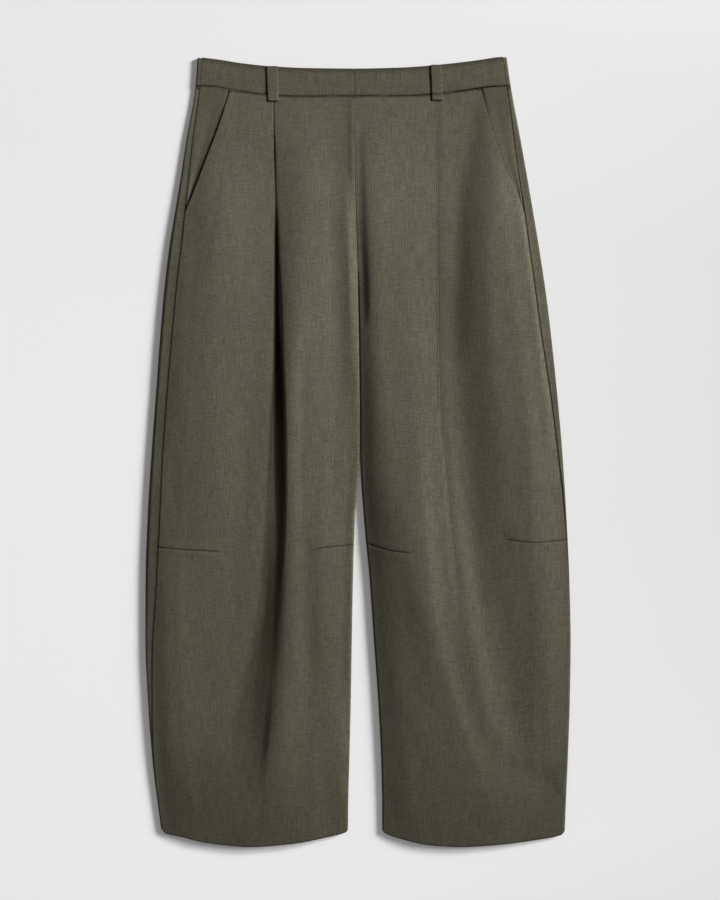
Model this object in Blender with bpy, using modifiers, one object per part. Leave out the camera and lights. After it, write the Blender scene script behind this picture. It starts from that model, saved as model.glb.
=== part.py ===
"""Barrel leg trousers laid flat on their back, front up.

+X is the wearer's left, +Y runs from the hem to the waist and +Z stands out of the front.
The origin lies under the middle of the garment, on the surface that it rests on.
Sizes are in millimetres until a point goes into a mesh.
"""

import math

import bpy
import numpy as np

# Driving dimensions
LENGTH = 988.8  # waist corner to the lowest point of the hem
PANEL_WALL = 1.2
BAND_WALL = 2.4
LOOP_WALL = 1.5
SEAM_GAP = 0.3
INSIDE_LEG_GAP = 0.6  # front to back where both turn down to meet
CROTCH_DROP = 312.0
ROLL_START = 235.0  # the inner edges start to turn down here, above the crotch
BAND_EDGE = 6.0  # front and back band together
END_STRIP = 0.25  # the last step of a sheet, so that its cut end stays square to it
LOWEST_FRONT = 3.3  # the front's face never dips under this
POCKET_END = 197.0
FACING_TUCK = 13.0  # how far the facing runs on under the pocket mouth
FACING_SINK = 1.55
FACING_MERGE = 8.0  # width at which the facing starts to dive under its whole mouth
DOME_RUN = 46.0  # distance in from an edge over which the cloth swells up
FLY_STEP = 0.9  # the right front stands this much over the left one
FLY_REACH = 16.0  # and comes up to it from here
FLY_BLEND = 12.0
OUTER_BLEND = 16.0  # the folds die out over these widths at the two edges
INNER_BLEND = 12.0
INNER_SWELL_START = 60.0  # above this drop the inner edge is as full as the middle
SCALE = 0.001

# Belt loops, from the band's top edge to their foot under the band
LOOP_WIDTH = 13.4
LOOP_RISE = 2.3
LOOP_FOOT = 8.4  # length of a loop under the band
LOOP_SINK = 0.4  # its top is this far under the band's edge
LOOP_LEAN = 1.4
LOOP_SEWN = 0.89  # share of its length at which it is sewn down again
LOOP_CLEAR = 0.2  # over the highest point of the front under its foot
LOOP_ROWS = 12

# Places where the columns of a sheet are set
SHOULDER = 0.9  # the inner roll starts this share of its height before the end
SEAM_STRIP = 5.0  # first strip of a front, along the side seam
LIP_STRIP = 2.0  # last strip before the pleat
BAND_STRIP = 8.0  # first strip of a front band
FACING_STRIP = 0.6
FACING_SLOPE = 0.6  # share of the facing that sinks
FACING_LEAST_SLOPE = 2.0
SETTLE_STEPS = 4  # passes in which a row finds the drops that its points lie at

CLOTH_COLOUR = (0.118, 0.108, 0.073, 1.0)
BAND_COLOUR = (0.112, 0.103, 0.071, 1.0)
FACING_COLOUR = (0.104, 0.096, 0.065, 1.0)
CLOTH_ROUGHNESS = 0.88

RIGHT = -1
LEFT = 1
LOOP_TOP = {RIGHT: -107.4, LEFT: 98.0}

# Rows down each leg. outer and inner are the two outlines, lap is how far the back
# comes round onto the front, edge is the height of the rolled edge and loft the
# swell of the middle above it.
SECTION_COLUMNS = ("drop", "outer", "lap", "inner", "edge", "loft")
RIGHT_SECTIONS = (
    (0.0, -200.9, 5.4, -4.4, 5.2, 0.0),
    (36.0, -203.4, 5.6, -4.4, 5.2, 0.0),
    (105.0, -215.0, 8.0, -4.4, 6.0, 2.2),
    (155.0, -222.6, 10.1, -3.8, 6.6, 3.4),
    (196.0, -229.4, 12.2, -3.1, 7.0, 4.4),
    (242.0, -236.8, 15.0, -2.5, 7.3, 5.2),
    (312.0, -244.6, 15.0, -1.2, 7.6, 6.0),
    (430.0, -253.6, 13.8, 0.9, 7.8, 6.6),
    (500.0, -258.8, 14.2, 0.6, 7.8, 6.8),
    (580.0, -263.6, 15.2, -3.9, 7.8, 7.0),
    (655.0, -266.0, 13.8, -6.2, 8.0, 7.2),
    (730.0, -266.2, 9.2, -7.6, 8.0, 7.2),
    (805.0, -263.0, 5.0, -8.9, 8.0, 6.8),
    (880.0, -257.4, 1.2, -10.7, 7.6, 5.6),
    (930.0, -251.4, 0.4, -12.0, 7.0, 4.0),
    (989.0, -243.4, 0.0, -12.6, 6.2, 2.0),
)
LEFT_SECTIONS = (
    (0.0, 186.0, 4.8, -4.4, 5.2, 0.0),
    (36.0, 191.2, 5.0, -4.4, 5.2, 0.0),
    (105.0, 203.8, 8.2, -4.4, 6.0, 2.2),
    (155.0, 212.6, 10.6, -3.8, 6.6, 3.4),
    (196.0, 219.6, 11.0, -3.1, 7.0, 4.4),
    (242.0, 227.2, 12.5, -2.5, 7.3, 5.2),
    (312.0, 237.4, 13.1, -1.2, 7.6, 6.0),
    (430.0, 250.2, 8.3, 0.9, 7.8, 6.6),
    (500.0, 256.2, 5.5, 1.8, 7.8, 6.8),
    (580.0, 261.2, 1.6, 7.4, 7.8, 6.8),
    (655.0, 264.6, 0.4, 14.4, 8.0, 6.8),
    (730.0, 266.2, 0.0, 19.6, 8.0, 6.8),
    (805.0, 265.2, 0.0, 25.0, 8.0, 6.4),
    (880.0, 262.6, 0.0, 28.8, 7.6, 5.4),
    (930.0, 260.4, 0.0, 30.0, 7.0, 4.0),
    (989.0, 258.0, 0.0, 30.4, 6.2, 2.0),
)
SECTIONS = {RIGHT: RIGHT_SECTIONS, LEFT: LEFT_SECTIONS}

# The front pleats. lip is the folded edge that lies on top, step its height over the
# underlay, tuck how far the underlay goes back under it, flat the width of the
# bottom, and fall and rise the widths of the two flanks.
PLEAT_COLUMNS = ("drop", "lip", "step", "tuck", "flat", "fall", "rise")
RIGHT_PLEAT = (
    (36.0, -106.6, 0.5, 0.0, 1.0, 3.0, 6.0),
    (112.0, -105.8, 2.0, 0.0, 1.0, 3.4, 13.0),
    (180.0, -104.8, 4.6, 1.0, 1.6, 4.4, 22.0),
    (242.0, -104.6, 6.6, 2.2, 2.6, 5.4, 28.0),
    (305.0, -104.4, 8.0, 2.6, 4.0, 6.0, 28.0),
    (367.0, -104.6, 8.8, 2.2, 5.5, 7.0, 24.0),
    (430.0, -105.4, 9.6, 1.2, 6.5, 9.0, 19.0),
    (500.0, -107.6, 10.4, 0.4, 7.5, 12.0, 15.0),
    (560.0, -109.4, 10.6, 0.0, 8.0, 14.0, 14.0),
    (630.0, -112.6, 10.4, 0.0, 7.0, 17.0, 17.0),
    (680.0, -115.6, 9.6, 0.0, 6.0, 19.0, 21.0),
    (742.0, -121.0, 8.0, 0.0, 6.0, 21.0, 26.0),
    (805.0, -128.0, 6.0, 0.0, 6.0, 23.0, 30.0),
    (855.0, -133.0, 4.4, 0.0, 6.0, 25.0, 32.0),
    (905.0, -139.0, 2.4, 0.0, 6.0, 27.0, 34.0),
    (989.0, -146.0, 0.0, 0.0, 6.0, 28.0, 36.0),
)
LEFT_PLEAT = (
    (36.0, 98.6, 0.5, 0.0, 1.0, 3.0, 6.0),
    (112.0, 98.8, 1.3, 0.0, 1.0, 3.0, 8.0),
    (242.0, 99.2, 1.7, 0.0, 1.0, 3.2, 10.0),
    (367.0, 100.0, 1.8, 0.0, 1.4, 4.0, 11.0),
    (430.0, 101.0, 2.0, 0.0, 2.0, 5.0, 11.0),
    (500.0, 103.6, 2.6, 0.0, 2.4, 6.0, 10.0),
    (560.0, 107.6, 3.0, 0.0, 2.6, 7.0, 10.0),
    (630.0, 112.0, 2.6, 0.0, 3.0, 8.0, 11.0),
    (692.0, 116.5, 1.2, 0.0, 3.0, 9.0, 12.0),
    (760.0, 121.0, 0.0, 0.0, 3.0, 10.0, 12.0),
    (989.0, 126.0, 0.0, 0.0, 3.0, 10.0, 12.0),
)
PLEATS = {RIGHT: RIGHT_PLEAT, LEFT: LEFT_PLEAT}

# Folds in the fronts: a line from its start by its middle to its end, the widths of
# its two flanks and its height, below zero for a trough.
FOLDS = {
    RIGHT: (
        {"drops": (70, 330, 640), "xs": (-42, -46, -56), "left": 26, "right": 22, "height": 2.6},
        {"drops": (480, 640, 840), "xs": (-60, -54, -42), "left": 9, "right": 11, "height": -1.6},
        {"drops": (300, 560, 780), "xs": (-146, -138, -150), "left": 34, "right": 20, "height": 2.0},
        {"drops": (110, 210, 300), "xs": (-212, -214, -205), "left": 14, "right": 20, "height": -1.6},
        {"drops": (200, 290, 370), "xs": (-17, -12, -9), "left": 8, "right": 6, "height": -1.4},
        {"drops": (690, 800, 905), "xs": (-212, -206, -200), "left": 34, "right": 46, "height": 2.4},
    ),
    LEFT: (
        {"drops": (80, 200, 330), "xs": (2, 6, 12), "left": 4, "right": 13, "height": -2.2},
        {"drops": (150, 420, 640), "xs": (52, 62, 84), "left": 26, "right": 22, "height": 2.0},
        {"drops": (60, 320, 620), "xs": (142, 144, 156), "left": 14, "right": 16, "height": -3.4},
        {"drops": (130, 380, 640), "xs": (188, 196, 214), "left": 22, "right": 26, "height": 2.2},
        {"drops": (560, 720, 935), "xs": (86, 118, 212), "left": 16, "right": 13, "height": 3.0},
        {"drops": (700, 790, 875), "xs": (138, 150, 171), "left": 9, "right": 9, "height": -2.4},
        {"drops": (580, 740, 830), "xs": (134, 159, 176), "left": 13, "right": 14, "height": 2.4},
        {"drops": (640, 760, 850), "xs": (197, 211, 222), "left": 17, "right": 14, "height": -2.6},
        {"drops": (880, 908, 935), "xs": (190, 222, 250), "left": 12, "right": 12, "height": 2.0},
    ),
}

# Edges that run across the garment, and the pocket mouths: each point is (x, drop).
TOP_EDGE = (
    (-203.0, 0.4),
    (-178.8, 3.1),
    (-147.5, 8.0),
    (-110.0, 12.0),
    (-60.0, 14.4),
    (-5.0, 15.0),
    (52.5, 13.8),
    (102.5, 10.0),
    (146.2, 5.0),
    (177.5, 0.5),
    (188.0, -0.2),
)
BAND_SEAM = (
    (-205.0, 36.4),
    (-182.5, 37.0),
    (-160.0, 41.2),
    (-118.8, 46.9),
    (-72.5, 49.6),
    (-5.0, 49.0),
    (52.5, 48.9),
    (92.5, 47.0),
    (127.5, 42.8),
    (166.2, 37.4),
    (193.0, 36.2),
)
BACK_SEAM = ((-205.0, 36.4), (-105.0, 45.6), (-5.0, 49.0), (95.0, 45.4), (193.0, 36.2))
HEM = {
    RIGHT: (
        (-246.0, 967.0),
        (-241.0, 972.4),
        (-222.5, 976.4),
        (-185.0, 984.6),
        (-135.0, 988.8),
        (-85.0, 985.2),
        (-35.0, 976.2),
        (-16.0, 971.4),
        (-11.0, 966.5),
    ),
    LEFT: (
        (29.0, 966.5),
        (33.0, 971.6),
        (56.2, 979.8),
        (92.0, 987.0),
        (127.5, 988.8),
        (177.5, 986.0),
        (225.0, 980.0),
        (254.0, 974.6),
        (259.5, 969.0),
    ),
}
POCKET_MOUTH = {
    RIGHT: ((36.0, -158.6), (82.0, -172.6), (126.0, -189.1), (163.0, -203.4), (197.0, -217.2)),
    LEFT: ((36.0, 152.4), (97.0, 169.1), (134.0, 181.6), (163.0, 195.6), (197.0, 208.6)),
}

# Rows of points down a panel, closer where the pocket and the hem turn
PANEL_ROWS = (42, 58, 80, 105, 130, 155, 178, 197, 220, 246, 278, 312, 340) + tuple(
    range(371, 940, 31)
) + (956, 978)
FACING_ROWS = tuple(row for row in PANEL_ROWS if row <= POCKET_END)
TOP_REACH = 110.0  # rows straighten out within this distance of the band
HEM_REACH = 170.0

FRONT_SPANS = {RIGHT: (1, 3, 6, 4, 2, 4, 6, 3, 1), LEFT: (1, 3, 6, 4, 2, 3, 6, 3, 1)}
BACK_SPANS = (1, 3, 3, 6, 3, 1)
FACING_SPANS = (1, 2, 4)
BAND_FRONT_SPANS = (1, 1, 13)
BAND_BACK_SPANS = (1, 3, 3, 7)


def smooth(points, wanted):
    """Heights of a smooth line through (place, height) points."""
    places = np.array([point[0] for point in points], float)
    heights = np.array([point[1] for point in points], float)
    wanted = np.clip(wanted, places[0], places[-1])
    steps = np.diff(places)
    slopes = np.diff(heights) / steps
    tangents = np.concatenate([slopes[:1], slopes, slopes[-1:]])
    before, after = tangents[:-1], tangents[1:]
    level = before * after <= 0
    tangents = np.where(level, 0.0, 2 * before * after / np.where(level, 1.0, before + after))
    index = np.clip(np.searchsorted(places, wanted, side="right") - 1, 0, len(steps) - 1)
    step = steps[index]
    t = (wanted - places[index]) / step
    return (
        (1 + 2 * t) * (1 - t) ** 2 * heights[index]
        + t * (1 - t) ** 2 * step * tangents[index]
        + t * t * (3 - 2 * t) * heights[index + 1]
        + t * t * (t - 1) * step * tangents[index + 1]
    )


def column(rows, names, name, drop):
    """One named column of a table, read smoothly at a drop."""
    place = names.index(name)
    return smooth([(row[0], row[place]) for row in rows], drop)


def section(side, name, drop):
    return column(SECTIONS[side], SECTION_COLUMNS, name, drop)


def pleat(side, name, drop):
    return column(PLEATS[side], PLEAT_COLUMNS, name, drop)


def ease(value):
    value = np.clip(value, 0.0, 1.0)
    return value * value * (3 - 2 * value)


def roll(drop):
    """0 where the two legs are one, 1 from the crotch down, where each closes on itself."""
    return ease((drop - ROLL_START) / (CROTCH_DROP - ROLL_START))


def fold_height(side, x, drop):
    """What the loose folds add to a front at a place."""
    total = np.zeros_like(x)
    for fold in FOLDS[side]:
        start, middle, end = fold["drops"]
        line = smooth(list(zip(fold["drops"], fold["xs"])), drop)
        width = np.where(x < line, fold["left"], fold["right"])
        across = np.exp(-(((x - line) / width) ** 2))
        along = ease((drop - start) / (middle - start)) * ease((end - drop) / (end - middle))
        total += fold["height"] * across * np.sqrt(along)
    return total


def pleat_drop(side, x, drop):
    """How far the pleat lowers the front at a place."""
    fall = pleat(side, "fall", drop)
    bottom = pleat(side, "lip", drop) + fall
    past = x - bottom - pleat(side, "flat", drop)
    down = ease((x - bottom) / fall + 1)
    up = 1 - ease(past / pleat(side, "rise", drop))
    return pleat(side, "step", drop) * down * up


def pleat_shift(side, x, drop):
    """How far the lip leans over the underlay, and the underlay back under the lip."""
    fall = pleat(side, "fall", drop)
    middle = pleat(side, "lip", drop) + fall / 2
    place = np.clip((x - middle) / fall, -1, 1)
    return -pleat(side, "tuck", drop) * np.sin(math.pi * place)


def leg_width(side, drop):
    """Distance between a leg's outlines, just clear of the other leg."""
    return np.abs(section(side, "inner", drop) - section(side, "outer", drop)) - SEAM_GAP / 2


def sheet_length(side, drop):
    """Distance round a sheet from its outer to its inner end, before it is folded."""
    radius = section(side, "edge", drop) / 2
    turn = roll(drop) * math.pi / 2
    width = leg_width(side, drop)
    return radius * math.pi / 2 + width - radius - radius * np.sin(turn) + radius * turn


def sheet_point(side, drop, along, front, edge=None):
    """(x, z) of a point of the front or back sheet, `along` from the outer edge's middle."""
    radius = (section(side, "edge", drop) if edge is None else edge) / 2
    outer = section(side, "outer", drop)
    width = leg_width(side, drop)
    quarter = radius * math.pi / 2
    turn = roll(drop) * math.pi / 2
    inner_start = width - radius * np.sin(turn)
    outer_angle = np.clip(along, 0, quarter) / radius
    inner_angle = np.clip((along - quarter - inner_start + radius) / radius, 0, turn)
    inward = np.where(along < quarter, radius * (1 - np.cos(outer_angle)), radius + along - quarter)
    inward = np.where(inward > inner_start, inner_start + radius * np.sin(inner_angle), inward)
    rise = radius * np.sin(outer_angle) - radius * (1 - np.cos(inner_angle))
    x = outer - side * inward
    if not front:
        return x, radius - rise
    if edge is not None:
        return x, radius + rise
    outer_swell = ease(inward / DOME_RUN)
    inner_swell = ease((width - inward) / DOME_RUN)
    full = 1 - ease((drop - INNER_SWELL_START) / (CROTCH_DROP - INNER_SWELL_START))
    swell = outer_swell * (inner_swell + (1 - inner_swell) * full)
    mask = ease(inward / OUTER_BLEND) * ease((width - inward) / INNER_BLEND)
    height = section(side, "loft", drop) * swell + fold_height(side, x, drop) * mask
    height = height - pleat_drop(side, x, drop)
    if side == RIGHT:
        to_fly = x - section(side, "inner", drop) + FLY_REACH
        height = height + FLY_STEP * ease(to_fly / FLY_BLEND) * (1 - roll(drop))
    flat_top = radius + rise
    lifted = np.maximum(flat_top + height, np.minimum(flat_top, LOWEST_FRONT))
    return x + pleat_shift(side, x, drop), np.where(mask > 0, lifted, flat_top)


def along_at(side, drop, x, edge=None):
    """Distance along the front sheet at which it reaches x."""
    radius = (section(side, "edge", drop) if edge is None else edge) / 2
    inward = np.abs(section(side, "outer", drop) - x)
    on_arc = radius * np.arccos(np.clip(1 - inward / radius, -1, 1))
    return np.where(inward < radius, on_arc, radius * math.pi / 2 + inward - radius)


def seam_along(side, drop, edge=None):
    """Where the side seam lies on the front sheet."""
    seam = section(side, "outer", drop) - side * section(side, "lap", drop)
    return along_at(side, drop, seam, edge)


def inner_end(side, drop):
    """Where a sheet stops: front and back leave the seam's gap once they meet at the inside leg."""
    return sheet_length(side, drop) - INSIDE_LEG_GAP / 2 * roll(drop)


def front_stops(side, drop):
    """Named places across a front: its outer edge, the pleat and its inner edge."""
    mouth = smooth(POCKET_MOUTH[side], drop)
    seam = seam_along(side, drop) + SEAM_GAP / 2
    start = np.where(drop < POCKET_END, np.maximum(seam, along_at(side, drop, mouth)), seam)
    lip = pleat(side, "lip", drop)
    bottom = lip + pleat(side, "fall", drop)
    pleat_places = [
        along_at(side, drop, lip - LIP_STRIP),
        along_at(side, drop, bottom),
        along_at(side, drop, bottom + pleat(side, "flat", drop)),
        along_at(side, drop, bottom + pleat(side, "flat", drop) + pleat(side, "rise", drop)),
    ]
    if side == LEFT:
        pleat_places.reverse()
    shoulder = sheet_length(side, drop) - section(side, "edge", drop) * SHOULDER
    end = inner_end(side, drop)
    quarter = section(side, "edge", drop) * math.pi / 4
    outer_shoulder = np.maximum(start + SEAM_STRIP, quarter + 1)
    return [start, start + END_STRIP, outer_shoulder, *pleat_places, shoulder, end - END_STRIP, end]


def spread(stops, spans):
    """One place for each column, evenly spaced between stops that have a value per column."""
    places = [stops[0]]
    for first, last, count in zip(stops, stops[1:], spans):
        places += [first + (last - first) * (step + 1) / count for step in range(count)]
    return np.diagonal(np.stack(places))


def per_column(drop, spans):
    """The drop of each column, where one drop may be given for all of them."""
    return np.broadcast_to(np.asarray(drop, float), (sum(spans) + 1,))


def row_drops(row, x, top, bottom, top_row, bottom_row):
    """The drop of each point of a row, bent to follow the band seam or the hem."""
    near_top = ease(1 - (row - top_row) / TOP_REACH)
    near_hem = ease(1 - (bottom_row - row) / HEM_REACH)
    return row + (smooth(top, x) - top_row) * near_top + (smooth(bottom, x) - bottom_row) * near_hem


def grid(rows, drops_of, points_of):
    """Rows of points, each found at the drop that its own x gives."""
    result = []
    for row in rows:
        drop = row
        for _ in range(SETTLE_STEPS + 1):
            x, z = points_of(drop)
            drop = drops_of(row, x)
        result.append(np.stack([x, LENGTH / 2 - drop, z], axis=1))
    return np.array(result)


def panel_drops(side, seam):
    """How a panel's rows follow the band seam above them and the hem below."""
    top = [(x, drop + SEAM_GAP) for x, drop in seam]

    def drops(row, x):
        return row_drops(row, x, top, HEM[side], PANEL_ROWS[0], PANEL_ROWS[-1])

    return drops


def front_points(side):
    def points(drop):
        drop = per_column(drop, FRONT_SPANS[side])
        return sheet_point(side, drop, spread(front_stops(side, drop), FRONT_SPANS[side]), True)

    return points


def round_edge(side, drop, along, edge=None):
    """Points of a piece that starts on the front, `along` below zero, and goes under."""
    x_over, z_over = sheet_point(side, drop, np.maximum(-along, 0), True, edge)
    x_under, z_under = sheet_point(side, drop, np.maximum(along, 0), False, edge)
    return np.where(along < 0, x_over, x_under), np.where(along < 0, z_over, z_under)


def back_points(side):
    """The back runs from the side seam, round the outer edge and under to its inner edge."""

    def points(drop):
        drop = per_column(drop, BACK_SPANS)
        quarter = section(side, "edge", drop) * math.pi / 4
        seam = seam_along(side, drop) - SEAM_GAP / 2
        shoulder = sheet_length(side, drop) - section(side, "edge", drop) * SHOULDER
        end = inner_end(side, drop)
        side_edge = np.maximum(LIP_STRIP - seam, 0)
        stops = [-seam, END_STRIP - seam, side_edge, quarter, shoulder, end - END_STRIP, end]
        return round_edge(side, drop, spread(stops, BACK_SPANS))

    return points


def facing_points(side):
    """The pocket facing sinks from the side seam to lie under the pocket mouth."""

    def points(drop):
        drop = per_column(drop, FACING_SPANS)
        seam = seam_along(side, drop) + SEAM_GAP / 2
        mouth = np.maximum(along_at(side, drop, smooth(POCKET_MOUTH[side], drop)), seam)
        show = mouth - seam
        start = seam + END_STRIP + FACING_STRIP
        slope = np.maximum(show * FACING_SLOPE, FACING_LEAST_SLOPE)
        stops = [seam, start, start + slope, mouth + FACING_TUCK]
        along = spread(stops, FACING_SPANS)
        x, z = sheet_point(side, drop, along, True)
        sink = np.maximum(ease((along - start) / slope), 1 - ease(show / FACING_MERGE))
        return x, z - FACING_SINK * sink

    return points


def band_drops(seam):
    """Band rows run from 0 at the top edge to 1 at the band's own seam."""

    def drops(row, x):
        return smooth(TOP_EDGE, x) + row * (smooth(seam, x) - smooth(TOP_EDGE, x))

    return drops


def band_front_points(side):
    def points(drop):
        drop = per_column(drop, BAND_FRONT_SPANS)
        seam = seam_along(side, drop, BAND_EDGE) + SEAM_GAP / 2
        end = along_at(side, drop, section(side, "inner", drop), BAND_EDGE) - SEAM_GAP / 2
        stops = [seam, seam + END_STRIP, seam + BAND_STRIP, end]
        return sheet_point(side, drop, spread(stops, BAND_FRONT_SPANS), True, BAND_EDGE)

    return points


def band_back_points(drop):
    """The back band is one piece, from side seam to side seam."""
    drop = per_column(drop, BAND_BACK_SPANS + BAND_BACK_SPANS[::-1])
    half = sum(BAND_BACK_SPANS)
    halves = []
    for side, own in ((RIGHT, drop[: half + 1]), (LEFT, drop[: half - 1 : -1])):
        seam = seam_along(side, own, BAND_EDGE) - SEAM_GAP / 2
        quarter = np.full_like(own, BAND_EDGE * math.pi / 4)
        middle = along_at(side, own, section(side, "inner", own), BAND_EDGE)
        stops = [-seam, END_STRIP - seam, np.zeros_like(own), quarter, middle]
        halves.append(round_edge(side, own, spread(stops, BAND_BACK_SPANS), BAND_EDGE))
    (x_right, z_right), (x_left, z_left) = halves
    return np.append(x_right, x_left[-2::-1]), np.append(z_right, z_left[-2::-1])


def cloth_material(name, colour):
    material = bpy.data.materials.new(name)
    material.use_nodes = True
    shader = material.node_tree.nodes["Principled BSDF"]
    shader.inputs["Base Color"].default_value = colour
    shader.inputs["Roughness"].default_value = CLOTH_ROUGHNESS
    shader.inputs["Metallic"].default_value = 0.0
    return material


def add_cloth(name, points, wall, colour, collection, flip=False):
    """A panel: an open sheet lofted through its rows, given its wall inwards."""
    rows, columns = points.shape[:2]
    faces = []
    for row in range(rows - 1):
        for place in range(columns - 1):
            corner = row * columns + place
            face = (corner, corner + columns, corner + columns + 1, corner + 1)
            faces.append(face[::-1] if flip else face)
    mesh = bpy.data.meshes.new(name)
    mesh.from_pydata((points.reshape(-1, 3) * SCALE).tolist(), [], faces)
    mesh.shade_smooth()
    mesh.materials.append(cloth_material(name + " cloth", colour))
    cloth = bpy.data.objects.new(name, mesh)
    collection.objects.link(cloth)
    wall_modifier = cloth.modifiers.new("wall", "SOLIDIFY")
    wall_modifier.thickness = wall * SCALE
    wall_modifier.offset = -1
    wall_modifier.use_quality_normals = True
    return cloth


def add_loop(name, side, collection):
    """A belt loop: a strip that bows out over the band and is sewn down at both ends."""
    top_x = LOOP_TOP[side]
    top = smooth(TOP_EDGE, top_x)
    seam = smooth(BAND_SEAM, top_x)
    across = np.linspace(-LOOP_WIDTH / 2, LOOP_WIDTH / 2, 4)
    rows = []
    for part in np.linspace(0, 1, LOOP_ROWS + 1):
        drop = top + LOOP_SINK + part * (seam + LOOP_FOOT - top)
        x = top_x + LOOP_LEAN * part + across
        under = BAND_EDGE
        if drop > seam + 1:
            drops = np.full_like(x, drop)
            front = sheet_point(side, drops, along_at(side, drops, x), True)[1]
            under = front.max() + LOOP_CLEAR
        bow = LOOP_RISE * math.sin(math.pi * min(part / LOOP_SEWN, 1.0)) ** 0.6
        height = under + SEAM_GAP + LOOP_WALL + bow
        rows.append(np.stack([x, np.full(4, LENGTH / 2 - drop), np.full(4, height)], axis=1))
    return add_cloth(name, np.array(rows), LOOP_WALL, BAND_COLOUR, collection)


def clear_scene():
    for old in list(bpy.data.objects):
        bpy.data.objects.remove(old, do_unlink=True)


def build():
    clear_scene()
    trousers = bpy.data.collections.new("Barrel leg trousers")
    bpy.context.scene.collection.children.link(trousers)
    names = {RIGHT: "right", LEFT: "left"}
    for side in (RIGHT, LEFT):
        mirrored = side == LEFT
        front = grid(PANEL_ROWS, panel_drops(side, BAND_SEAM), front_points(side))
        add_cloth("front_" + names[side], front, PANEL_WALL, CLOTH_COLOUR, trousers, mirrored)
        back = grid(PANEL_ROWS, panel_drops(side, BACK_SEAM), back_points(side))
        add_cloth("back_" + names[side], back, PANEL_WALL, CLOTH_COLOUR, trousers, not mirrored)
        facing = grid(FACING_ROWS, panel_drops(side, BAND_SEAM), facing_points(side))
        name = "pocket_facing_" + names[side]
        add_cloth(name, facing, PANEL_WALL, FACING_COLOUR, trousers, mirrored)
        band = grid((0.0, 0.5, 1.0), band_drops(BAND_SEAM), band_front_points(side))
        name = "waistband_front_" + names[side]
        add_cloth(name, band, BAND_WALL, BAND_COLOUR, trousers, mirrored)
        add_loop("belt_loop_" + names[side], side, trousers)
    back_band = grid((0.03, 0.5, 1.0), band_drops(BACK_SEAM), band_back_points)
    add_cloth("waistband_back", back_band, BAND_WALL, BAND_COLOUR, trousers, True)


build()
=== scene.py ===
import math

import bpy
import numpy as np
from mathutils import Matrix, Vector


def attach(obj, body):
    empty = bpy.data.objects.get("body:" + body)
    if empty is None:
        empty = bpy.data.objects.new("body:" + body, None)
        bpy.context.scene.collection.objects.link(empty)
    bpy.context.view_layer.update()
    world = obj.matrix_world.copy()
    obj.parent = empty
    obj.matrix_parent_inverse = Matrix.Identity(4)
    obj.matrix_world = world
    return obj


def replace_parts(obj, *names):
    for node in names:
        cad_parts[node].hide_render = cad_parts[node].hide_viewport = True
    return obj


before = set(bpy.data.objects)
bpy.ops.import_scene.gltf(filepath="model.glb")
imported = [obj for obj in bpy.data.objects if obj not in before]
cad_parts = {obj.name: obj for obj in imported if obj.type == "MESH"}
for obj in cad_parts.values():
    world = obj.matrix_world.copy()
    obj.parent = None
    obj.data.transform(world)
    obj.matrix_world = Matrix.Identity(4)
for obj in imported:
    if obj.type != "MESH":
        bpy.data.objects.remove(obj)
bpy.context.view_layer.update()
print("frame loaded:", len(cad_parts), "solids")

# Right and left are the wearer's: the right leg lies at x below zero. Lengths in the
# shape code are in millimetres, and a drop is the distance down from the waist corner.
right, left = -1, 1
sideNames = {right: "Right", left: "Left"}

mm = 0.001

form = {
    "length": 988.8,
    "crotchDrop": 312,
    "rollStart": 235,  # the inner edges start to turn down here
    "seamGap": 0.3,
    "legGap": 0.04,  # where the two legs touch below the fly
    "insideLegGap": 0.6,
    "bandEdge": 4.8,  # both bands together
    "lowestFront": 3,
    "domeRun": 46,
    "innerDome": 76,
    "innerCurve": 1.7,
    "innerSwellStart": 60,
    "outerBlend": 20,  # folds die out over these widths
    "innerBlend": {right: 12, left: 38},
    "pleatCurve": 1.4,
    "flyStep": 0.6,
    "flyReach": 9,
    "flyBlend": 6,
    "flyEnd": 470,
    "flyFade": 80,
    "rightSquare": 0.5,  # the right leg's inner edge is squarer, where it laps the left
    "squareEnd": 530,
    "topReach": 110,
    "hemReach": 170,
    "edgeShare": 0.74,  # of the height in the table at the outer and inner edges
    "edgeSquare": 0.7,  # below one the laid edges are squarer than round
    "shoulder": 0.9,  # of the edge height, from the inner edge to its round stretch
    "firstRow": 42,
    "lastRow": 978,
    "grainSeed": 11,
    "unevenness": ((0.34, 34, 120), (0.16, 15, 46), (0.05, 6, 17)),  # height, width, length
}

halfGap = form["seamGap"] / 2  # each piece ends this far from its seam
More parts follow.
